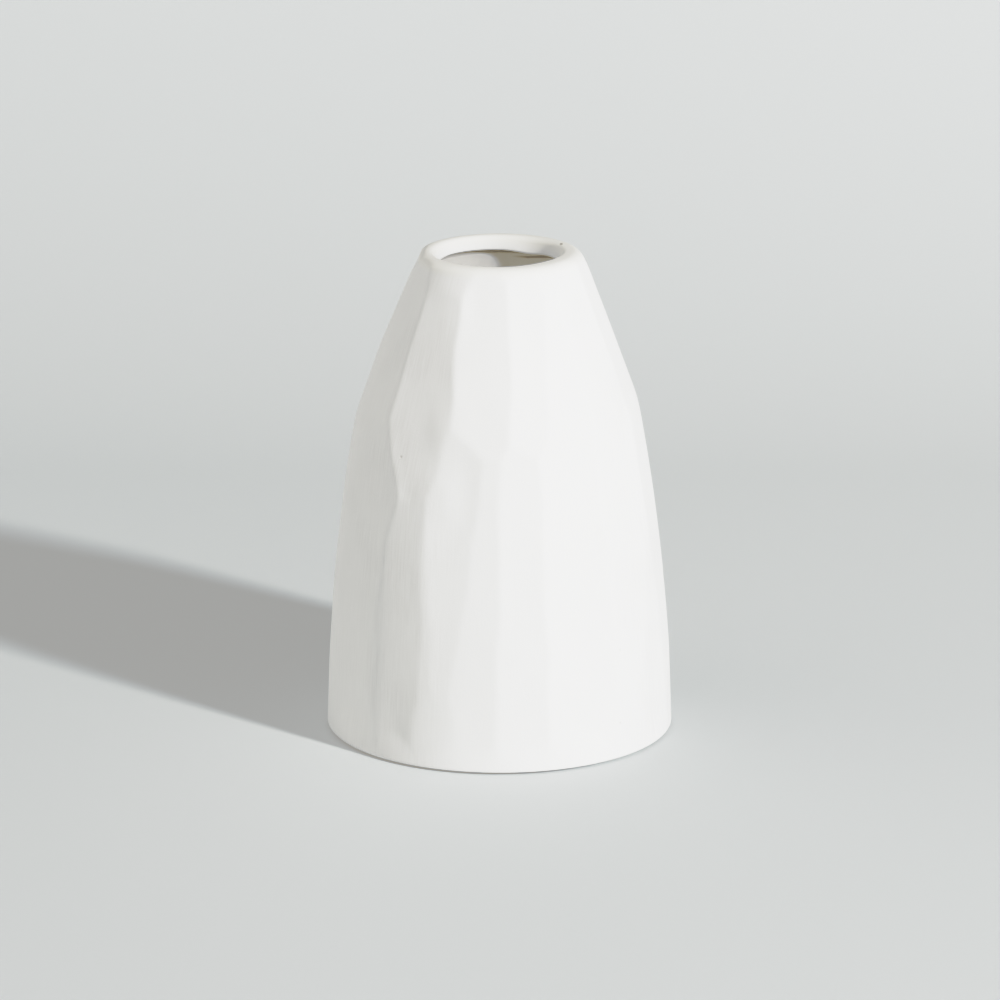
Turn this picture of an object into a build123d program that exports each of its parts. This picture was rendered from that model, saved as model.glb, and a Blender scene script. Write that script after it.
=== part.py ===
from build123d import *
import os
from math import atan2, cos, radians, sin, tan

# Faceted ceramic bud vase, in millimetres. +Z is up and the origin is the centre of the foot, on the
# surface that the vase stands on. Azimuths are in degrees, 0 at the front (-Y), 90 on the right (+X).

# Driving dimensions
HEIGHT = 120.0
OUTLINE_RADII = (42.8, 41.1, 42.0, 19.5)  # control radii at 0, 1/3, 2/3 and 3/3 of the height
FOOT_EDGE_RADIUS = 1.0
FOOT_BAND_HEIGHT = 2.5  # the facets stop above this band, which stays round
FOOT_BAND_FADE = (41.6, 8.5)  # radius and height where the band's sloping top ends under the facets
LIP_OUTER_RADIUS = 3.2  # roundings of the rolled lip, outside and inside
LIP_INNER_RADIUS = 1.6
CREST_RADIUS = 17.0  # the highest circle of the lip, measured about the throat's axis
LIP_DEPTH = 3.5  # from the crest down to the ledge under the lip
THROAT_TAPER = 18.0  # degrees by which the inside of the lip narrows downward
THROAT_OFFSET = -0.4  # the mouth was trimmed this far off centre, towards the left (-X)
LEDGE_EDGE_RADIUS = 0.5
WALL = 3.4
SHOULDER_EXTRA = 0.5  # the casting is this much thicker where it meets the lip
FLOOR = 4.0  # from the standing surface to the inner floor
FLOOR_CORNER_RADIUS = 8.0
GLAZE = 0.3
RECESS_RADIUS = 36.0  # shallow hollow inside the foot ring
RECESS_DEPTH = 0.8
RECESS_EDGE_RADIUS = 0.5

# Each facet is (azimuth, distance from the axis at its low station, distance at its high station).
SHOULDER_STATIONS = (78.0, 116.0)
SHOULDER_BOW = 0.0  # shoulder facets are flat
SHOULDER_FACETS = (
    (-66, 34.8, 21.0), (-36, 34.1, 22.0), (-9, 35.2, 21.1), (14, 35.4, 21.3), (29, 35.0, 22.1),
    (53, 35.6, 21.1), (77, 35.8, 21.2), (102, 35.0, 21.2), (127, 35.5, 21.1), (151, 34.6, 21.8),
    (176, 35.4, 21.2), (203, 34.9, 21.0), (229, 35.6, 21.5), (250, 35.1, 21.6), (266, 36.9, 20.8),
    (272, 35.3, 22.1),
)
BELLY_STATIONS = (5.0, 75.0)
BELLY_BOW = 1.15  # belly facets swell outward by this much between their stations
BELLY_FACETS = (
    (-60, 41.6, 34.9), (-37, 41.9, 36.3), (-18, 42.8, 35.3), (-8, 42.3, 35.9), (8, 42.1, 35.8),
    (29, 41.6, 35.1), (54, 42.6, 34.8), (79, 42.6, 35.1), (98, 42.0, 35.0), (122, 41.8, 35.2),
    (149, 42.2, 35.6), (174, 41.6, 35.0), (199, 42.1, 35.5), (222, 41.8, 34.9), (246, 42.2, 35.6),
    (272, 42.7, 35.6),
)
FOOT_STATIONS = (5.0, 35.0)
FOOT_BOW = 0.2
FOOT_FACETS = ((-26, 42.6, 41.0), (66, 41.9, 40.6), (139, 42.1, 40.7), (236, 42.0, 40.8))

FACET_ROWS = (
    (SHOULDER_STATIONS, SHOULDER_BOW, SHOULDER_FACETS),
    (BELLY_STATIONS, BELLY_BOW, BELLY_FACETS),
    (FOOT_STATIONS, FOOT_BOW, FOOT_FACETS),
)
REACH = 60.0  # half-size of the prisms that cut the facets, well clear of the vase


def outline(inset, shoulder_inset):
    """The turned outline as one Bezier curve, from the standing surface up to the full height."""
    insets = (inset, inset, inset, shoulder_inset)
    points = [(radius - gap, HEIGHT * i / 3) for i, (radius, gap) in enumerate(zip(OUTLINE_RADII, insets))]
    return Bezier(*points)


def turned(profile):
    """Revolve a closed profile, drawn as (radius, height), about the vase's axis."""
    return revolve(Plane.XZ * profile, axis=Axis.Z)


def corner(profile, radius, height):
    """The vertex of a profile that is nearest to a given place."""
    return profile.vertices().sort_by_distance((radius, height, 0))[0]


def facet_distance(facet, stations, bow, height):
    """How far from the axis a facet stands at a height, measured square to it."""
    _, low, high = facet
    t = (height - stations[0]) / (stations[1] - stations[0])
    return low + (high - low) * t + 4 * bow * t * (1 - t)


def kept_side(facet, stations, bow, inset):
    """A prism that holds everything on the axis side of one facet, moved inward by the inset."""
    azimuth, low, high = facet
    lean = atan2(low - high, stations[1] - stations[0])
    heights = (-FLOOR, HEIGHT / 2, HEIGHT + FLOOR)
    edge = [(facet_distance(facet, stations, bow, z) - inset / cos(lean), z) for z in heights]
    face_line = ThreePointArc(*edge) if bow else Line(edge[0], edge[2])
    back = Polyline(edge[2], (-REACH, heights[2]), (-REACH, heights[0]), edge[0])
    prism = extrude(Plane.XZ * make_face(face_line + back), REACH, both=True)
    return Rot(0, 0, azimuth - 90) * prism


def faceted(solid, inset):
    """Trim a turned solid back to every facet."""
    for stations, bow, facets in FACET_ROWS:
        for facet in facets:
            solid = solid & kept_side(facet, stations, bow, inset)
    return solid


def foot_band():
    """The round band that the casting stands on, its top sloping inward under the facets."""
    radius = OUTLINE_RADII[0]
    fade_radius, fade_height = FOOT_BAND_FADE
    slope = [(radius, FOOT_BAND_HEIGHT), (fade_radius, fade_height)]
    profile = make_face(Polyline((0, 0), (radius, 0), *slope, (0, fade_height), (0, 0)))
    return turned(fillet(corner(profile, radius, 0), FOOT_EDGE_RADIUS))


def outer_form():
    """The outside of the casting: turned outline with its rounded lip, all facets and the foot band."""
    side = outline(0, 0)
    rim = Polyline(side @ 1, (0, HEIGHT), (0, 0), side @ 0)
    profile = fillet(corner(make_face(side + rim), OUTLINE_RADII[3], HEIGHT), LIP_OUTER_RADIUS)
    above = Pos(0, 0, HEIGHT + FOOT_BAND_HEIGHT / 2) * Box(2 * REACH, 2 * REACH, 2 * HEIGHT)
    return (faceted(turned(profile), 0) & above) + foot_band()


def hollow(coat):
    """The space inside the casting, faceted like its outside, less a coat of the given thickness."""
    side = outline(WALL + coat, WALL + SHOULDER_EXTRA + coat)
    rest = Polyline(side @ 1, (0, HEIGHT), (0, 0), side @ 0)
    inside_height = HEIGHT - LIP_DEPTH - FLOOR - coat
    band = Pos(REACH, FLOOR + coat + inside_height / 2) * Rectangle(2 * REACH, inside_height)
    profile = make_face(side + rest) & band
    floor_corner = profile.vertices().sort_by(Axis.Y)[:2].sort_by(Axis.X)[-1]
    profile = fillet(floor_corner, FLOOR_CORNER_RADIUS - coat)
    return faceted(turned(profile), WALL + coat)


def throat():
    """The mouth through the lip: rounded inward from the crest, tapering down to a softened edge."""
    ledge = HEIGHT - LIP_DEPTH
    taper = radians(THROAT_TAPER)
    roll = LIP_INNER_RADIUS
    soft = LEDGE_EDGE_RADIUS
    crest = (CREST_RADIUS, HEIGHT)
    roll_end = (CREST_RADIUS - roll * cos(taper), HEIGHT - roll * (1 - sin(taper)))
    edge_height = ledge + soft * (1 + sin(taper))
    edge_start = (roll_end[0] - (roll_end[1] - edge_height) * tan(taper), edge_height)
    edge_end = (edge_start[0] + soft * cos(taper), ledge)
    line = RadiusArc(roll_end, crest, roll) + Line(roll_end, edge_start)
    line += RadiusArc(edge_end, edge_start, soft)
    line += Polyline(edge_end, (edge_end[0], ledge - 1), (0, ledge - 1), (0, HEIGHT + 1))
    line += Polyline((0, HEIGHT + 1), (CREST_RADIUS, HEIGHT + 1), crest)
    return Pos(THROAT_OFFSET, 0, 0) * turned(make_face(line))


def foot_recess():
    """The shallow hollow under the floor that leaves a flat ring to stand on."""
    plug = Pos(0, 0, RECESS_DEPTH / 2) * Cylinder(RECESS_RADIUS, RECESS_DEPTH)
    return fillet(plug.edges().sort_by(Axis.Z)[-1], RECESS_EDGE_RADIUS)


def vase_body():
    """The fired casting: wall, floor, foot ring and lip in one piece."""
    return outer_form() - hollow(0) - throat() - foot_recess()


def liner_glaze():
    """The glass coat on the inner wall and floor, up to the ledge under the lip."""
    return hollow(0) - hollow(GLAZE)


NODES = {"vase_body": vase_body, "liner_glaze": liner_glaze}

os.makedirs("parts", exist_ok=True)
for node, make in NODES.items():
    export_step(make(), f"parts/{node}.step")
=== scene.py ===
import math

import bpy
import numpy as np
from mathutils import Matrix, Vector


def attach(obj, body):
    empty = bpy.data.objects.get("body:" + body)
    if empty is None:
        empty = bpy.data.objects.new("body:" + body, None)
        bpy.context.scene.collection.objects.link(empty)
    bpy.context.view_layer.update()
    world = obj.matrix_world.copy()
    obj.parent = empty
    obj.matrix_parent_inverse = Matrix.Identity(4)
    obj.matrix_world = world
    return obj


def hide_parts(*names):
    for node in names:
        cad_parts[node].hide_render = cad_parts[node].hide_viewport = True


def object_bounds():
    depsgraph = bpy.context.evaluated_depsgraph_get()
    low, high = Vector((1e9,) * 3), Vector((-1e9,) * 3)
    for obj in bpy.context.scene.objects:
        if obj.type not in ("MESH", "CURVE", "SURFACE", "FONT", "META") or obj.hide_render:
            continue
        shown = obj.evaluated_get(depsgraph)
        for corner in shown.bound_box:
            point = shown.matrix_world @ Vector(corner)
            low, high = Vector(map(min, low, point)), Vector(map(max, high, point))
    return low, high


# Looks of the faceted ceramic bud vase. Lengths are in metres, or in millimetres where a name ends in
# _MM or a comment says mm. Azimuths are in degrees, 0 at the front (-Y) and 90 on the right (+X), as in
# the CAD part.

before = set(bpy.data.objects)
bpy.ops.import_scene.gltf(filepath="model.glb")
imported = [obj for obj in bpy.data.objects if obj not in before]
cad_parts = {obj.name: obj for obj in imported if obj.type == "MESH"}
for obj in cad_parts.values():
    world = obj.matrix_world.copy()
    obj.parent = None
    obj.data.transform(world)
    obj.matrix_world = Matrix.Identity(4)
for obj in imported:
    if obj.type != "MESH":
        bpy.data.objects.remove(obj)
cad_low, cad_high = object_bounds()
MM = 0.001
HEIGHT_MM = cad_high.z / MM

# The casting, as the CAD part has it
OUTLINE_RADII_MM = (42.8, 41.1, 42.0, 19.5)
WALL_MM = 3.4
SHOULDER_EXTRA_MM = 0.5
GLAZE_MM = 0.3
FLOOR_MM = 4.0
FLOOR_CORNER_MM = 8.0
LIP_OUTER_MM = 3.2
LIP_INNER_MM = 1.6
CREST_RADIUS_MM = 17.0
LIP_DEPTH_MM = 3.5
THROAT_TAPER_DEG = 18.0
THROAT_OFFSET_MM = -0.4
LEDGE_EDGE_MM = 0.5
FOOT_EDGE_MM = 1.0
FOOT_BAND_MM = 2.5
FOOT_BAND_FADE_MM = (41.6, 8.5)
RECESS_RADIUS_MM = 36.0
RECESS_DEPTH_MM = 0.8
RECESS_EDGE_MM = 0.5
HOLLOW_TOP_MM = HEIGHT_MM - LIP_DEPTH_MM - 0.3  # the inner wall's highest ring, just under the lip
MEAN_RADIUS_MM = 38.0

# Rows of facets, in mm: stations up the vase, outward bow, and (azimuth, distance at each station) of each
FACET_ROWS = (
    ((78.0, 116.0), 0.0, (
        (-66, 34.8, 21.0), (-36, 34.1, 22.0), (-9, 35.2, 21.1), (14, 35.4, 21.3), (29, 35.0, 22.1),
        (53, 35.6, 21.1), (77, 35.8, 21.2), (102, 35.0, 21.2), (127, 35.5, 21.1), (151, 34.6, 21.8),
        (176, 35.4, 21.2), (203, 34.9, 21.0), (229, 35.6, 21.5), (250, 35.1, 21.6), (266, 36.9, 20.8),
        (272, 35.3, 22.1),
    )),
    ((5.0, 75.0), 1.15, (
        (-60, 41.6, 34.9), (-37, 41.9, 36.3), (-18, 42.8, 35.3), (-8, 42.3, 35.9), (8, 42.1, 35.8),
        (29, 41.6, 35.1), (54, 42.6, 34.8), (79, 42.6, 35.1), (98, 42.0, 35.0), (122, 41.8, 35.2),
        (149, 42.2, 35.6), (174, 41.6, 35.0), (199, 42.1, 35.5), (222, 41.8, 34.9), (246, 42.2, 35.6),
        (272, 42.7, 35.6),
    )),
    ((5.0, 35.0), 0.2, ((-26, 42.6, 41.0), (66, 41.9, 40.6), (139, 42.1, 40.7), (236, 42.0, 40.8))),
)

# What the hand did to the soft clay
ARRIS_SOFTNESS_MM = 0.5  # how far the sponging of the greenware spread each arris
SPONGED_SOFTNESS_MM = 2.0  # the same, where it was sponged harder
CAST_SOFTNESS_MM = 4.0  # the same on the inner wall, where the slip settled round every corner
# Places that were sponged harder: azimuth, height (mm), and reach of each
SPONGED = ((0, 1.5, 900, 5.0), (-48, 20, 14, 24), (95, 84, 35, 12), (-100, 84, 25, 12))
HAND_WANDER_DEG = 0.8  # how far a hand-held tool wandered along an arris
# Waves of that wandering: length up the vase (mm), phase (radians), and how many go round it
WANDER_WAVES = ((47.0, 0.9, 3), (31.0, 2.6, 7), (19.0, 4.4, 11))
# Places where the hand drifted while cutting: azimuth, height (mm), reach of each, and shift (degrees)
HAND_DRIFTS = (
    (-24, 112, 8, 9, 3.4), (-49, 104, 10, 12, -2.2), (5, 98, 10, 18, 2.2), (-27, 83, 8, 5.5, -3.2),
    (-35, 66, 18, 8, 3.0), (-18, 68, 8, 9, 5.2), (-3, 50, 8, 12, 1.4), (-28, 40, 8, 18, 1.3),
    (-47, 38, 8, 14, -1.8), (-30, 4, 10, 12, -3.2), (-18, 24, 6, 9, -2.2),
)
# Places where the tool dug deeper into a shoulder facet: azimuth, height (mm), reach of each, depth (mm)
GOUGES = ((-37, 65.0, 9, 4, 0.6), (-90, 117.2, 26, 2.6, 0.6))
# Where the lip was trimmed unevenly: azimuth, reach, then in mm how far in its crest comes, how far in
# its lower edge comes, and how far down that edge hangs
LIP_UNEVEN = (
    (148, 15, 0.0, 0.0, 0.45), (45, 32, 0.8, 0.8, 0.1), (252, 14, 0.1, 0.1, 0.25), (156, 26, 0.0, 0.8, 0.0),
)
FOOT_GAP_MM = 0.42  # the foot's outer corner clears the table by this much
FOOT_BEVEL_MM = 2.1  # how far in the bevel under that corner runs
FOOT_CORNER_MM = 0.5
RIM_SPECK = (0.0151, 0.0069, 0.1199)  # a speck of iron in the clay of the lip, drawn out front to back
BRUSH_SHADE_AT_DEG = -45  # brush marks are painted darkest on this azimuth, where the key light grazes the facets, and thirds of a turn from it: partly stain in the grooves, partly painted shade of them
# Painted shadow inside the vase under the back right of the lip: a thin dark line that climbs from the back
# towards the right, where the ledge's shadow falls, and painted shade on the side at its right end. Angles
# are in radians from the front, and each pair is where a fade begins and ends.
SHADOW_LINE_START = (1.9, 2.2)
SHADED_SIDE_SPAN = (2.25, 2.65)
SHADOW_LINE_END = (2.75, 3.0)
SHADOW_LINE_HEIGHT_MM = 114.3
SHADOW_LINE_CLIMB_MM = 2.6  # for each radian

# How finely the meshes are drawn
COLUMNS = 400
GLAZE_COLUMNS = COLUMNS // 2
ROW_STEP_MM = 0.8
FIELD_STEP_MM = 0.4
FIELD_MARGIN_MM = 6.0  # the field of radii runs past both ends of the vase by this much
EDGE_ON = 0.3  # a facet cuts nothing where the cosine of the angle round from its middle is under this
LIP_LEAN_DEG = 27  # how far the side leans in where the lip's rounding begins
LIP_START = 0.55  # and how far below the crest that is, as a share of the rounding's radius
NECK_MM = 96.0  # above this height the inner wall has a ring for each millimetre

# Colours, linear: pairs are the two ends of a slow drift
BISQUE = ((0.81, 0.806, 0.789, 1), (0.833, 0.83, 0.816, 1))
LIP_TONE = (0.824, 0.814, 0.77, 1)
# darker streaks on the brush marks: partly stain, partly painted shade of the grooves
BRUSH_STAIN_AND_SHADE = (0.763, 0.755, 0.737, 1)
# painted shade: the dark inside each pinhole
PINHOLE_SHADE = (0.42, 0.38, 0.32, 1)
IRON = (0.36, 0.31, 0.22, 1)
GLAZE = ((0.895, 0.875, 0.83, 1), (0.915, 0.90, 0.865, 1))
# painted shade: the dark brown laid on the inner wall under the lip, where its shadow falls
PAINTED_LIP_SHADE = (0.27, 0.235, 0.195, 1)
PAPER = ((0.701, 0.722, 0.722, 1), (0.711, 0.732, 0.732, 1))

# Studio
SWEEP_FLAT_UNTIL = 0.226  # the floor is flat to this far behind the vase's axis
SWEEP_BEND = 0.55  # radius of its bend up
SWEEP_HALF_WIDTH = 4.0
WALL_DISTANCE = 3.2
WALL_BEND = 1.2  # radius of the wall's bend up from the floor
WALL_HEIGHT = 3.0
KEY_AZIMUTH = 48
KEY_ELEVATION = 24.5
KEY_DISTANCE = 2.85
KEY_AIM_HEIGHT = 0.06
KEY_SPREAD_DEG = 2.5  # half the angle that the lamp fills, seen from the vase
KEY_WATTS = 303.0
KEY_COLOUR = (0.995, 1.0, 1.01)
# Broad soft lights of the room: azimuth, elevation and strength at the middle of each
SOFT_LIGHTS = ((-100, 0, 1.03), (60, 0, 0.42), (-60, 45, 0.31))
ROOM_COLOUR = (1.0, 0.985, 0.952, 1)

# Film
WHITE_LEVEL = 2.0  # the brightest light that the film's shoulder takes in
# Deep shade is lifted by the film, most in red: light, then the red, green and blue levels that it gives
TOE = (
    (0.06, 0.13, 0.118, 0.10), (0.15, 0.30, 0.285, 0.25), (0.24, 0.34, 0.33, 0.31),
    (0.34, 0.365, 0.363, 0.358),
)
SHOULDER_START = 0.65
SHOULDER_TOP = 0.94
SHOULDER_LIGHTS = (0.72, 0.8, 0.9, 1.0, 1.15, 1.3, 1.6)  # lights at which the curve has a point

# Camera
LENS_MM = 205.1
SENSOR_MM = 36.0
CAMERA_ELEVATION = 16.12
CAMERA_DISTANCE = 1.402
CAMERA_AIM_HEIGHT = 0.0569
CAMERA_SIDESTEP = 0.00013


def turned_radius(height, inset=0.0, top_inset=0.0):
    """Radius of the turned outline, a cubic Bezier whose heights are evenly spaced."""
    t = height / HEIGHT_MM
    r0, r1, r2, r3 = OUTLINE_RADII_MM
    radius = r0 * (1 - t) ** 3 + 3 * r1 * t * (1 - t) ** 2 + 3 * r2 * t * t * (1 - t) + r3 * t**3
    return radius - inset - (top_inset - inset) * t**3


def bump(azimuth, height, at, up, reach_round, reach_up):
    """A smooth hump of height one round a place on the vase."""
    round_by = (azimuth - at + 180) % 360 - 180
    return np.exp(-(round_by / reach_round) ** 2 - ((height - up) / reach_up) ** 2)


def wander(azimuth, height):
    """How far the cutting tool was off its line, in degrees, the same on every run."""
    off = 0.0
    for period, phase, turns in WANDER_WAVES:
        wave = np.sin(2 * np.pi * height / period + phase + np.radians(turns * azimuth))
        off = off - HAND_WANDER_DEG / len(WANDER_WAVES) * wave
    for at, up, reach_round, reach_up, shift in HAND_DRIFTS:
        off = off + shift * bump(azimuth, height, at, up, reach_round, reach_up)
    return off


def foot_band_radius(height):
    """Radius of the round band above the foot, which fades out under the facets."""
    fade_radius, fade_height = FOOT_BAND_FADE_MM
    slope = (OUTLINE_RADII_MM[0] - fade_radius) / (fade_height - FOOT_BAND_MM)
    faded = OUTLINE_RADII_MM[0] - slope * (height - FOOT_BAND_MM)
    return np.minimum(turned_radius(height), faded)


class Side:
    """The faceted side as a field of radii over height and azimuth, with softened arrises."""

    def __init__(self, inset, top_inset, columns, band=False, softness=ARRIS_SOFTNESS_MM):
        self.azimuths = np.arange(columns) * 360.0 / columns
        self.heights = np.arange(-FIELD_MARGIN_MM, HEIGHT_MM + FIELD_MARGIN_MM, FIELD_STEP_MM)
        azimuth, height = np.meshgrid(self.azimuths, self.heights)
        radius = turned_radius(height, inset, top_inset)
        steered = azimuth - wander(azimuth, height)
        gouged = sum(deep * bump(azimuth, height, *place) for *place, deep in GOUGES)
        for stations, bow, facets in FACET_ROWS:
            span = stations[1] - stations[0]
            dug = 0.0 if bow else gouged
            t = (height - stations[0]) / span
            for centre, low, high in facets:
                lean = math.atan2(low - high, span)
                away = low + (high - low) * t + 4 * bow * t * (1 - t) - inset / math.cos(lean) - dug
                facing = np.cos(np.radians(steered - centre))
                cut = np.minimum(radius, away / np.maximum(facing, EDGE_ON))
                radius = np.where(facing > EDGE_ON, cut, radius)
        if band:
            radius = np.maximum(radius, foot_band_radius(height))
        share = 0.0
        for at, up, reach_round, reach_up in SPONGED:
            share = np.maximum(share, bump(azimuth, height, at, up, reach_round, reach_up))
        crisp = self.soften(radius, softness)
        self.radii = crisp + share * (self.soften(radius, max(softness, SPONGED_SOFTNESS_MM)) - crisp)

    @staticmethod
    def soften(radius, softness):
        """Gaussian smoothing by the same length round the vase and up it."""
        reach = int(4 * softness / FIELD_STEP_MM) + 1
        offsets = np.arange(-reach, reach + 1) * FIELD_STEP_MM
        kernel = np.exp(-0.5 * (offsets / softness) ** 2)
        kernel /= kernel.sum()
        padded = np.pad(radius, ((reach, reach), (0, 0)), mode="reflect", reflect_type="odd")
        up = sum(w * padded[i:i + len(radius)] for i, w in enumerate(kernel))
        waves = np.fft.rfft(up, axis=1)
        angle = softness / up.mean(axis=1, keepdims=True)
        damping = np.exp(-0.5 * (np.arange(waves.shape[1]) * angle) ** 2)
        return np.fft.irfft(waves * damping, n=radius.shape[1], axis=1)

    def at(self, height):
        """Radii round the vase at one height."""
        place = (height - self.heights[0]) / FIELD_STEP_MM
        row = int(place)
        share = place - row
        return self.radii[row] * (1 - share) + self.radii[row + 1] * share


def ring(azimuths, radii, height, shift=0.0):
    """A ring of points, in metres, its centre moved along X by the shift."""
    angle = np.radians(azimuths)
    radii = np.broadcast_to(radii, angle.shape)
    heights = np.broadcast_to(height, angle.shape)
    return np.column_stack((radii * np.sin(angle) + shift, -radii * np.cos(angle), heights)) * MM


def shell_from_rings(name, rings):
    """One closed mesh through a list of rings, each end shut by a centre point."""
    columns = len(rings[0])
    here = np.arange(columns)
    ahead = (here + 1) % columns
    faces = []
    for i in range(len(rings) - 1):
        a, b = i * columns, (i + 1) * columns
        faces += np.column_stack((a + here, a + ahead, b + ahead, b + here)).tolist()
    centres = [rings[0].mean(axis=0), rings[-1].mean(axis=0)]
    first = len(rings) * columns
    points = np.concatenate(rings + [centres])
    end = first - columns
    faces += np.column_stack((ahead, here, np.full(columns, first))).tolist()
    faces += np.column_stack((end + here, end + ahead, np.full(columns, first + 1))).tolist()
    mesh = bpy.data.meshes.new(name)
    mesh.from_pydata(points.tolist(), [], faces)
    mesh.shade_smooth()
    piece = bpy.data.objects.new(name, mesh)
    bpy.context.scene.collection.objects.link(piece)
    return piece


def arc(centre, radius, start, end, steps):
    """Points (radius, height) on an arc, angles in degrees from outward, turning up."""
    angles = np.radians(np.linspace(start, end, steps))
    return [(centre[0] + radius * math.cos(a), centre[1] + radius * math.sin(a)) for a in angles]


def hollow_rings(side, coat, top):
    """Rings down the inner wall, round the floor's corner and in to the middle of the floor."""
    floor = FLOOR_MM + coat
    corner = FLOOR_CORNER_MM - coat
    rings = [ring(side.azimuths, side.at(z), z) for z in np.arange(top, NECK_MM, -1.0)]
    rings += [ring(side.azimuths, side.at(z), z) for z in np.linspace(NECK_MM, floor + corner, 26)]
    for drop in np.radians(np.linspace(10, 90, 8)):
        z = floor + corner - corner * math.sin(drop)
        rings.append(ring(side.azimuths, side.at(z) - corner * (1 - math.cos(drop)), z))
    rings += [ring(side.azimuths, side.at(floor) * share, floor) for share in (0.6, 0.35, 0.12)]
    return rings


def foot_rings(outer):
    """From the recess under the floor, out over the flat foot ring and its bevel, to the outer corner."""
    azimuths = outer.azimuths
    rings = [ring(azimuths, r, RECESS_DEPTH_MM) for r in (6.0, 18.0, 28.0)]
    edge_centre = (RECESS_RADIUS_MM - RECESS_EDGE_MM, RECESS_DEPTH_MM - RECESS_EDGE_MM)
    rings += [ring(azimuths, r, z) for r, z in arc(edge_centre, RECESS_EDGE_MM, 90, 0, 4)]
    rings.append(ring(azimuths, RECESS_RADIUS_MM, 0.0))
    foot = outer.at(FOOT_EDGE_MM)
    bevel_start = foot - FOOT_BEVEL_MM
    rings.append(ring(azimuths, 0.5 * (RECESS_RADIUS_MM + bevel_start), 0.0))
    for share in (0.0, 0.04, 0.5, 0.96):
        radii = bevel_start + share * (FOOT_BEVEL_MM - FOOT_CORNER_MM)
        rings.append(ring(azimuths, radii, share * FOOT_GAP_MM))
    for rise in np.radians(np.linspace(15, 80, 6)):
        z = FOOT_GAP_MM + (FOOT_EDGE_MM - FOOT_GAP_MM) * (1 - math.cos(rise))
        rings.append(ring(azimuths, foot - FOOT_CORNER_MM * (1 - math.sin(rise)), z))
    return rings


def rounded_lip_rings(outer, lip_start):
    """Over the lip's outer rounding, from the faceted side to the round crest."""
    lean = math.radians(LIP_LEAN_DEG)
    centre_height = HEIGHT_MM - LIP_OUTER_MM
    turned_start = turned_radius(lip_start)
    turned_centre = turned_start - LIP_OUTER_MM * math.cos(lean)
    faceting = outer.at(lip_start) - turned_start
    rings = []
    for turn in np.linspace(lean, math.pi / 2, 10)[1:]:
        fade = math.cos((turn - lean) / (math.pi / 2 - lean) * math.pi / 2)
        radii = turned_centre + LIP_OUTER_MM * math.cos(turn) + faceting * fade
        rings.append(ring(outer.azimuths, radii, centre_height + LIP_OUTER_MM * math.sin(turn)))
    return rings


def throat_outline():
    """Points (radius, height) from the crest down the tapering throat and out under its lower edge."""
    taper = math.radians(THROAT_TAPER_DEG)
    roll_centre = (CREST_RADIUS_MM, HEIGHT_MM - LIP_INNER_MM)
    roll = arc(roll_centre, LIP_INNER_MM, 90, 180 - THROAT_TAPER_DEG, 9)
    edge_height = HEIGHT_MM - LIP_DEPTH_MM + LEDGE_EDGE_MM
    start_height = edge_height + LEDGE_EDGE_MM * math.sin(taper)
    start_radius = roll[-1][0] - (roll[-1][1] - start_height) * math.tan(taper)
    edge_centre = (start_radius + LEDGE_EDGE_MM * math.cos(taper), edge_height)
    middle = (0.5 * (roll[-1][0] + start_radius), 0.5 * (roll[-1][1] + start_height))
    return roll + [middle] + arc(edge_centre, LEDGE_EDGE_MM, 180 - THROAT_TAPER_DEG, 270, 6)


def throat_rings(azimuths):
    """The throat, trimmed off centre and unevenly."""
    crest_in, edge_in, hang = 0.0, 0.0, 0.0
    for at, reach, *amounts in LIP_UNEVEN:
        there = bump(azimuths, 0, at, 0, reach, 1)
        crest_in, edge_in, hang = (old + new * there for old, new in zip((crest_in, edge_in, hang), amounts))
    rings = []
    for r, z in throat_outline():
        depth = (HEIGHT_MM - z) / LIP_DEPTH_MM
        inward = crest_in + (edge_in - crest_in) * depth
        rings.append(ring(azimuths, r - inward, z - hang * depth, THROAT_OFFSET_MM))
    return rings


def vase_body():
    """The fired casting: foot ring, faceted side, rolled lip, ledge under the lip and inner wall."""
    outer = Side(0.0, 0.0, COLUMNS, band=True)
    inner = Side(WALL_MM, WALL_MM + SHOULDER_EXTRA_MM, COLUMNS, softness=CAST_SOFTNESS_MM)
    lip_start = HEIGHT_MM - LIP_OUTER_MM * LIP_START
    side_rows = int((lip_start - FOOT_EDGE_MM) / ROW_STEP_MM)
    rings = foot_rings(outer)
    rings += [ring(outer.azimuths, outer.at(z), z) for z in np.linspace(FOOT_EDGE_MM, lip_start, side_rows)]
    rings += rounded_lip_rings(outer, lip_start)
    rings += throat_rings(outer.azimuths)
    rings += hollow_rings(inner, 0.0, HOLLOW_TOP_MM)
    return shell_from_rings("vase_body_porcelain", rings)


def liner_glaze():
    """The glass coat on the inner wall and floor."""
    top_inset = WALL_MM + SHOULDER_EXTRA_MM
    wall = Side(WALL_MM, top_inset, GLAZE_COLUMNS, softness=CAST_SOFTNESS_MM)
    water = Side(WALL_MM + GLAZE_MM, top_inset + GLAZE_MM, GLAZE_COLUMNS, softness=CAST_SOFTNESS_MM)
    outside = hollow_rings(wall, 0.0, HOLLOW_TOP_MM)
    inside = hollow_rings(water, GLAZE_MM, HOLLOW_TOP_MM)
    return shell_from_rings("liner_glaze_coat", outside[::-1] + inside)


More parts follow.
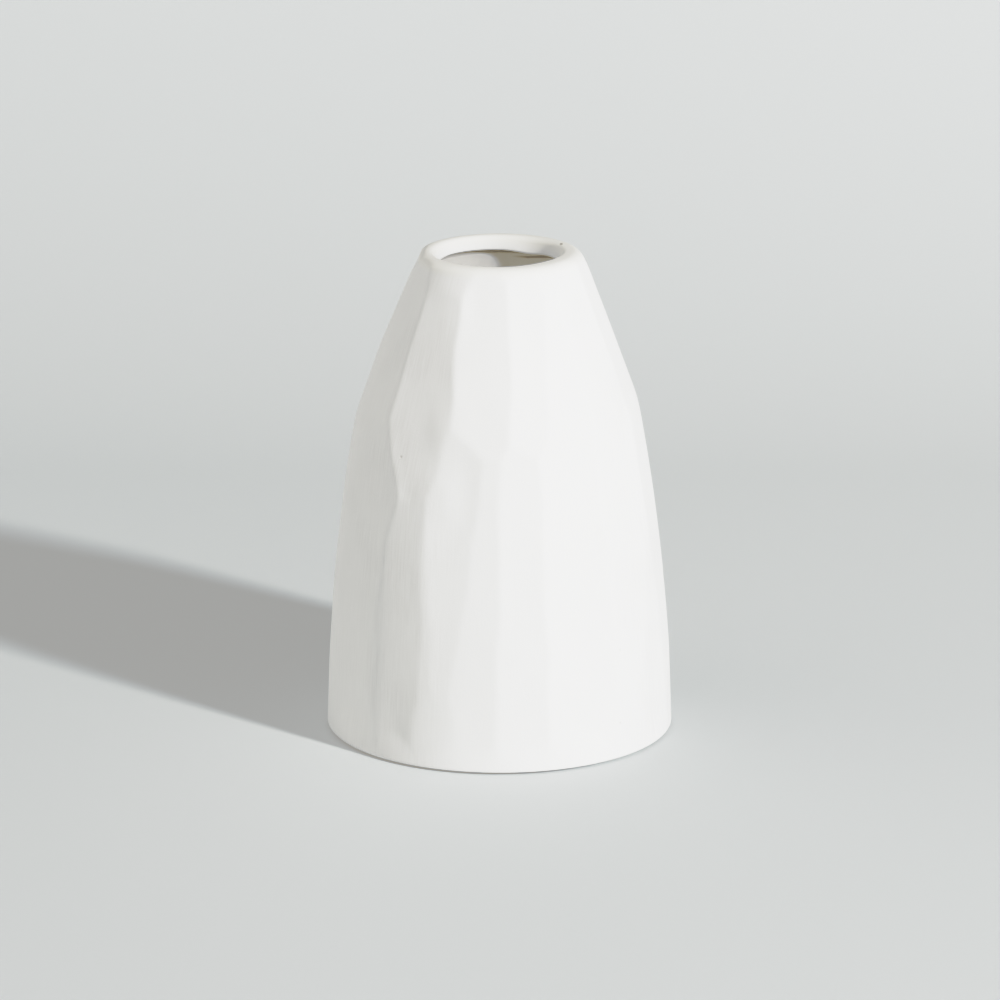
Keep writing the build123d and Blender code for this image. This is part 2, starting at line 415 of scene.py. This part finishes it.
class Nodes:
    """Small helper that adds and links shader nodes."""

    def __init__(self, name):
        self.material = bpy.data.materials.new(name)
        self.material.use_nodes = True
        self.tree = self.material.node_tree
        self.shader = self.tree.nodes["Principled BSDF"]

    def add(self, kind, inputs=(), **settings):
        """A new node, each input linked to an output or set to a value."""
        node = self.tree.nodes.new(kind)
        for key, value in settings.items():
            setattr(node, key, value)
        for socket, value in dict(inputs).items():
            if isinstance(value, bpy.types.NodeSocket):
                self.tree.links.new(value, node.inputs[socket])
            else:
                node.inputs[socket].default_value = value
        return node

    def math(self, operation, a, b=0.0):
        return self.add("ShaderNodeMath", {0: a, 1: b}, operation=operation).outputs[0]

    def product(self, *factors):
        """Factors multiplied in turn."""
        total = factors[0]
        for factor in factors[1:]:
            total = self.math("MULTIPLY", total, factor)
        return total

    def ramp(self, value, start, end, at_start, at_end):
        """A value carried from one range to another and held at its ends."""
        settings = {0: value, 1: start, 2: end, 3: at_start, 4: at_end}
        return self.add("ShaderNodeMapRange", settings).outputs[0]

    def noise(self, vector, scale, detail, roughness=0.5):
        settings = {"Vector": vector, "Scale": scale, "Detail": detail, "Roughness": roughness}
        return self.add("ShaderNodeTexNoise", settings).outputs["Fac"]

    def blend(self, share, first, second):
        """The first colour, taken towards the second by a share."""
        return self.add("ShaderNodeMix", {0: share, 6: first, 7: second}, data_type="RGBA").outputs[2]

    def feed(self, socket, output):
        self.tree.links.new(output, self.shader.inputs[socket])

    def relief(self, height):
        """Give the surface a relief, its height in metres."""
        node = self.add("ShaderNodeBump", {"Height": height, "Distance": 1.0, "Strength": 1.0})
        self.feed("Normal", node.outputs[0])

    def set(self, socket, value):
        """A number that is the same all over the surface."""
        self.shader.inputs[socket].default_value = value


def around_and_up(nodes):
    """Position, angle round the vase in radians, and mm round it (at its mean radius) and up it."""
    position = nodes.add("ShaderNodeTexCoord").outputs["Object"]
    xyz = nodes.add("ShaderNodeSeparateXYZ", {0: position})
    toward_front = nodes.math("MULTIPLY", xyz.outputs["Y"], -1.0)
    angle = nodes.math("ARCTAN2", xyz.outputs["X"], toward_front)
    around = nodes.math("MULTIPLY", angle, MEAN_RADIUS_MM)
    up = nodes.math("MULTIPLY", xyz.outputs["Z"], 1 / MM)
    return position, angle, around, up


def drawn_up(nodes, around, up, stretch):
    """Coordinates in which a noise comes out as streaks up the vase."""
    return nodes.add("ShaderNodeCombineXYZ", {0: around, 1: nodes.math("MULTIPLY", up, stretch)}).outputs[0]


def pinholes(nodes, position):
    """One at the middle of a few pinholes scattered over the clay, and zero elsewhere."""
    cells = nodes.add("ShaderNodeTexVoronoi", {"Vector": position, "Scale": 170.0})
    chosen = nodes.add("ShaderNodeSeparateColor", {0: cells.outputs["Color"]})
    rare = nodes.math("GREATER_THAN", chosen.outputs[0], 0.945)
    return nodes.product(rare, nodes.ramp(cells.outputs["Distance"], 0.03, 0.075, 1.0, 0.0))


def brush_stain_and_shade(nodes, scrape, position, angle):
    """Where fine lines of the fettling brush show, painted darker: on three sides of the vase, and in
    patches. The darkening is partly stain in the grooves and partly painted shade of them, strongest where
    the key light grazes the facets.
    """
    from_plainest = nodes.math("SUBTRACT", angle, math.radians(BRUSH_SHADE_AT_DEG))
    lobes = nodes.math("COSINE", nodes.math("MULTIPLY", from_plainest, 3.0))
    stain_and_shade_sides = nodes.ramp(lobes, -0.2, 0.8, 0.15, 1.0)
    line = nodes.ramp(scrape, 0.35, 0.65, 0.0, 1.0)
    patchy = nodes.ramp(nodes.noise(position, 75.0, 1.0), 0.4, 0.65, 0.35, 1.0)
    return nodes.product(line, stain_and_shade_sides, patchy)


def iron_speck(nodes, position):
    """One on the iron speck of the lip, fading to zero round it."""
    offset = nodes.add("ShaderNodeVectorMath", {0: position, 1: RIM_SPECK}, operation="SUBTRACT")
    drawn_out = {0: offset.outputs[0], 1: (1.0, 0.4, 1.0)}
    drawn = nodes.add("ShaderNodeVectorMath", drawn_out, operation="MULTIPLY")
    away = nodes.add("ShaderNodeVectorMath", {0: drawn.outputs[0]}, operation="LENGTH")
    return nodes.ramp(away.outputs["Value"], 0.2 * MM, 0.5 * MM, 0.9, 0.0)


def bisque_porcelain():
    """Matt unglazed porcelain: warm white, fettling marks up the facets, darkened partly as stain and partly
    as painted shade, grain and a few pinholes with painted shade in them.
    """
    nodes = Nodes("bisque_porcelain")
    position, angle, around, up = around_and_up(nodes)
    scrape = nodes.noise(drawn_up(nodes, around, up, 0.045), 2.2, 4.0, 0.62)
    grain = nodes.noise(position, 2600.0, 3.0)
    cloud = nodes.noise(position, 34.0, 3.0)
    pinhole = pinholes(nodes, position)

    tint = nodes.blend(cloud, *BISQUE)
    # Painted shade: the brush marks are darkened, partly as stain and partly as the shade of their grooves
    tint = nodes.blend(brush_stain_and_shade(nodes, scrape, position, angle), tint, BRUSH_STAIN_AND_SHADE)
    tint = nodes.blend(nodes.ramp(up, 117.3, 119.0, 0.0, 0.85), tint, LIP_TONE)
    # Painted shade: each pinhole is darkened, as the shade inside a small hole
    tint = nodes.blend(nodes.math("MULTIPLY", pinhole, 0.33), tint, PINHOLE_SHADE)
    tint = nodes.blend(iron_speck(nodes, position), tint, IRON)
    nodes.feed("Base Color", tint)

    scraped = nodes.math("MULTIPLY", scrape, 0.015 * MM)
    texture = nodes.math("ADD", scraped, nodes.math("MULTIPLY", grain, 0.02 * MM))
    nodes.relief(nodes.math("SUBTRACT", texture, nodes.math("MULTIPLY", pinhole, 0.08 * MM)))
    nodes.feed("Roughness", nodes.ramp(scrape, 0.0, 1.0, 0.72, 0.86))
    nodes.set("Specular IOR Level", 0.35)
    return nodes.material


def ledge_shadow_mark(nodes, angle, up):
    """Painted shadow under the back right of the lip: a thin dark line, and painted shade on a side to it.
    """
    before_end = nodes.math("MAXIMUM", nodes.math("SUBTRACT", SHADOW_LINE_END[0], angle), 0.0)
    climb = nodes.math("MULTIPLY", before_end, SHADOW_LINE_CLIMB_MM)
    above_low_end = nodes.math("SUBTRACT", up, SHADOW_LINE_HEIGHT_MM)
    beside = nodes.math("ABSOLUTE", nodes.math("SUBTRACT", above_low_end, climb))
    # Painted shadow: a thin dark line under the ledge
    line = nodes.ramp(beside, 0.12, 0.5, 0.75, 0.0)
    start = nodes.ramp(angle, *SHADOW_LINE_START, 0.0, 1.0)
    end = nodes.ramp(angle, *SHADOW_LINE_END, 1.0, 0.0)
    # Painted shade on the side at the line's right end
    side = nodes.ramp(angle, *SHADED_SIDE_SPAN, 0.30, 0.0)
    return nodes.math("MULTIPLY", nodes.math("MAXIMUM", nodes.math("MULTIPLY", line, end), side), start)


def clear_liner_glaze():
    """Clear glaze over the body: a deeper, warmer tone with a wet gloss and a slow ripple, and painted shade
    and painted shadow lines under the lip.
    """
    nodes = Nodes("clear_liner_glaze")
    position, angle, around, up = around_and_up(nodes)
    # Painted shade: darker towards the lip, and a dark line just under the ledge where its shadow falls
    shade_near_lip = nodes.ramp(up, 111.0, 116.0, 0.0, 0.10)
    ledge_shadow = nodes.ramp(up, 115.0, 115.5, 0.0, 0.6)
    painted_shade = nodes.math("MAXIMUM", nodes.math("ADD", shade_near_lip, ledge_shadow), ledge_shadow_mark(nodes, angle, up))
    pooled = nodes.blend(nodes.noise(position, 60.0, 2.0), *GLAZE)
    nodes.feed("Base Color", nodes.blend(painted_shade, pooled, PAINTED_LIP_SHADE))
    ripple = nodes.noise(drawn_up(nodes, around, up, 0.2), 0.25, 1.0)
    nodes.relief(nodes.math("MULTIPLY", ripple, 0.1 * MM))
    nodes.set("Roughness", 0.22)
    return nodes.material


def studio_paper():
    """The pale paper that the vase stands on."""
    nodes = Nodes("studio_paper")
    position = nodes.add("ShaderNodeTexCoord").outputs["Object"]
    nodes.feed("Base Color", nodes.blend(nodes.noise(position, 900.0, 2.0), *PAPER))
    nodes.set("Roughness", 0.9)
    nodes.set("Specular IOR Level", 0.2)
    return nodes.material


def paper_sheet(name, rows, closed=False):
    """A staged sheet of paper through rows of points. A closed one goes all the way round."""
    columns = len(rows[0])
    spans = columns if closed else columns - 1
    faces = []
    for row in range(len(rows) - 1):
        for column in range(spans):
            ahead = (column + 1) % columns
            near, far = row * columns, (row + 1) * columns
            faces.append((near + column, near + ahead, far + ahead, far + column))
    mesh = bpy.data.meshes.new(name)
    mesh.from_pydata([point for row in rows for point in row], [], faces)
    mesh.shade_smooth()
    sheet = bpy.data.objects.new(name, mesh)
    bpy.context.scene.collection.objects.link(sheet)
    mesh.materials.append(studio_paper())
    return sheet


def rising_bend(start, radius, last_angle, steps):
    """Points (distance, height) where flat paper bends upward, from just past its start."""
    angles = np.linspace(0.02, last_angle, steps)
    return [(start + radius * math.sin(a), radius * (1 - math.cos(a))) for a in angles]


def floor_sweep():
    """A floor that curves gently up behind the vase, as a paper roll does."""
    outline = [(-SWEEP_HALF_WIDTH, 0.0), (0.0, 0.0), (SWEEP_FLAT_UNTIL, 0.0)]
    outline += rising_bend(SWEEP_FLAT_UNTIL, SWEEP_BEND, 1.15, 48)
    paper_sheet("floor_sweep", [[(-SWEEP_HALF_WIDTH, y, z), (SWEEP_HALF_WIDTH, y, z)] for y, z in outline])


def far_wall():
    """The studio's wall, far off all round. It only closes the view, and takes no light from the vase."""
    outline = rising_bend(WALL_DISTANCE - WALL_BEND, WALL_BEND, math.pi / 2, 24)
    outline.append((WALL_DISTANCE, WALL_HEIGHT))
    turns = np.linspace(0, 2 * math.pi, 96, endpoint=False)
    rows = [[(r * math.sin(a), -r * math.cos(a), z) for a in turns] for r, z in outline]
    wall = paper_sheet("far_wall", rows, closed=True)
    wall.visible_diffuse = False
    wall.visible_glossy = False
    wall.visible_transmission = False
    wall.visible_shadow = False


def toward(azimuth, elevation):
    """Unit direction from the vase towards an azimuth and elevation, in degrees."""
    a, e = math.radians(azimuth), math.radians(elevation)
    return (math.sin(a) * math.cos(e), -math.cos(a) * math.cos(e), math.sin(e))


def aim(thing, azimuth, elevation, distance, height):
    """Put a camera or lamp at a distance from the vase's axis at a height, looking back at it."""
    back = Vector(toward(azimuth, elevation))
    thing.location = Vector((0, 0, height)) + back * distance
    thing.rotation_euler = (-back).to_track_quat("-Z", "Y").to_euler()


def key_lamp():
    """One lamp from the right, which draws the vase's shadow."""
    key = bpy.data.lights.new("key", "POINT")
    key.energy = KEY_WATTS
    key.shadow_soft_size = KEY_DISTANCE * math.tan(math.radians(KEY_SPREAD_DEG))
    key.color = KEY_COLOUR
    lamp = bpy.data.objects.new("key", key)
    bpy.context.scene.collection.objects.link(lamp)
    aim(lamp, KEY_AZIMUTH, KEY_ELEVATION, KEY_DISTANCE, KEY_AIM_HEIGHT)


def room_light():
    """The world's broad soft light, strongest on the left."""
    world = bpy.data.worlds.new("room")
    bpy.context.scene.world = world
    world.use_nodes = True
    nodes = world.node_tree.nodes
    links = world.node_tree.links
    direction = nodes.new("ShaderNodeTexCoord").outputs["Generated"]
    total = None
    for azimuth, elevation, strength in SOFT_LIGHTS:
        facing = nodes.new("ShaderNodeVectorMath")
        facing.operation = "DOT_PRODUCT"
        facing.inputs[1].default_value = toward(azimuth, elevation)
        links.new(direction, facing.inputs[0])
        glow = nodes.new("ShaderNodeMath")
        glow.operation = "MAXIMUM"
        glow.inputs[1].default_value = 0.0
        links.new(facing.outputs["Value"], glow.inputs[0])
        added = nodes.new("ShaderNodeMath")
        added.operation = "MULTIPLY_ADD"
        added.inputs[1].default_value = strength
        added.inputs[2].default_value = 0.0
        links.new(glow.outputs[0], added.inputs[0])
        if total:
            links.new(total, added.inputs[2])
        total = added.outputs[0]
    background = nodes["Background"]
    background.inputs["Color"].default_value = ROOM_COLOUR
    links.new(total, background.inputs["Strength"])


def shoulder(light):
    """The level that a highlight gives: it eases off towards the top as it does on film."""
    room = SHOULDER_TOP - SHOULDER_START
    return SHOULDER_TOP - room * math.exp(-(light - SHOULDER_START) / room)


def film():
    """Lifted deep shade, then a straight response, and highlights that ease off at the shoulder."""
    view = bpy.context.scene.view_settings
    view.view_transform = "Standard"
    view.use_curve_mapping = True
    mapping = view.curve_mapping
    mapping.white_level = (WHITE_LEVEL, WHITE_LEVEL, WHITE_LEVEL)
    for channel in range(3):
        curve = mapping.curves[channel]
        curve.points[0].location = (0.0, 0.0)
        curve.points[0].handle_type = "VECTOR"
        curve.points[1].location = (1.0, shoulder(WHITE_LEVEL))
        for shade, *levels in TOE:
            curve.points.new(shade / WHITE_LEVEL, levels[channel])
        start = curve.points.new(SHOULDER_START / WHITE_LEVEL, SHOULDER_START)
        start.handle_type = "VECTOR"
        for light in SHOULDER_LIGHTS:
            curve.points.new(light / WHITE_LEVEL, shoulder(light))
    mapping.update()


def camera():
    """A long lens that looks down a little at the vase's front."""
    data = bpy.data.cameras.new("camera")
    data.sensor_width = SENSOR_MM
    data.lens = LENS_MM
    view = bpy.data.objects.new("camera", data)
    bpy.context.scene.collection.objects.link(view)
    aim(view, 0.0, CAMERA_ELEVATION, CAMERA_DISTANCE, CAMERA_AIM_HEIGHT)
    view.location.x += CAMERA_SIDESTEP
    bpy.context.scene.camera = view


def wear(piece, material, node):
    """Give a piece its material and record slot, and let it stand for its CAD node."""
    piece.data.materials.append(material)
    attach(piece, "root")
    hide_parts(node)


wear(vase_body(), bisque_porcelain(), "vase_body")
wear(liner_glaze(), clear_liner_glaze(), "liner_glaze")
floor_sweep()
far_wall()
key_lamp()
room_light()
camera()
film()
